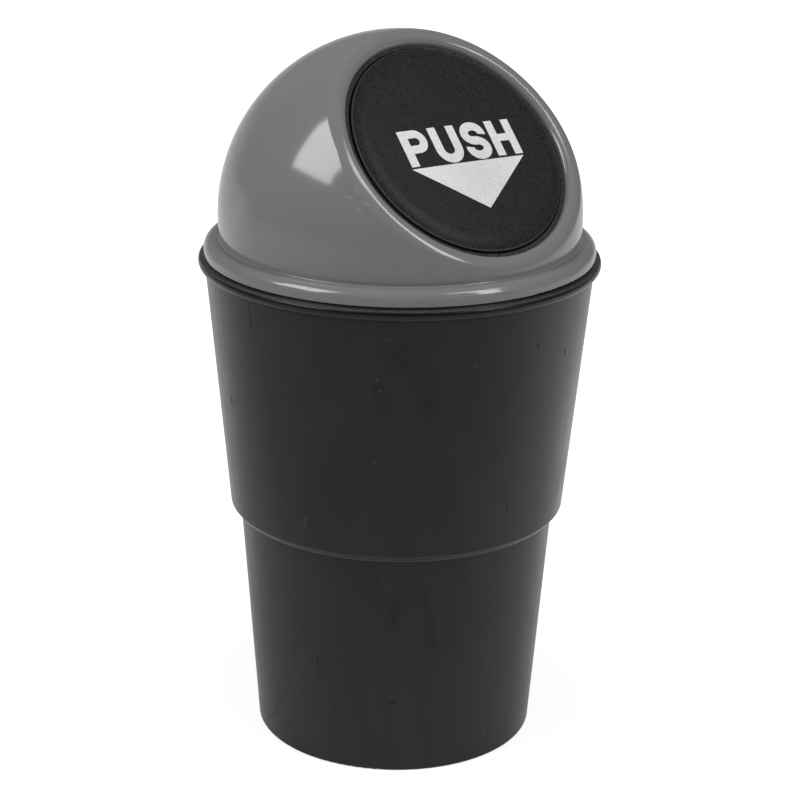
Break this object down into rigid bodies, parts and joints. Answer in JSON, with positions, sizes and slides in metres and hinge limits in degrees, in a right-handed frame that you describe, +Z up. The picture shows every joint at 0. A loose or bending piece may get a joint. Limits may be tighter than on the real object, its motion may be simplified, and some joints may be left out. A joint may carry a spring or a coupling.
{
  "type": "car trash bin",
  "caption": "Small domed trash bin for a vehicle's cup holder: stepped cup, push-on dome lid with a slanted round opening and a sprung push flap that swings inward.",
  "frame": {"origin": "on the bin's axis, at the foot that it stands on", "axes": "+Z up along the cup's axis, -Y the way the slanted flap faces, +X to the right as seen from the flap's side"},
  "size_m": [0.095, 0.095, 0.1717],
  "materials": {
    "bin_black": "smooth satin moulded plastic",
    "dome_grey": "glossy moulded plastic",
    "flap_black": "fine matte moulded texture",
    "steel": "bright drawn wire"
  },
  "bodies": {
    "cup": {"bin_body": "bin_black"},
    "lid": {"dome_lid": "dome_grey", "flap_frame": "flap_black", "hinge_pin": "steel", "return_spring": "steel"},
    "flap": {"push_flap": "flap_black"}
  },
  "joints": [
    {"name": "lid_lift", "type": "slide", "parent": "cup", "child": "lid", "axis": [0, 0, 1], "range_m": [0, 0.08]},
    {"name": "flap_swing", "type": "hinge", "parent": "lid", "child": "flap", "pos_m": [0, 0.00558, 0.16441], "axis": [1, 0, 0], "range_deg": [0, 80], "stiffness_Nm_per_rad": 0.02, "springref_deg": -28.65, "deforming": ["return_spring"]}
  ]
}
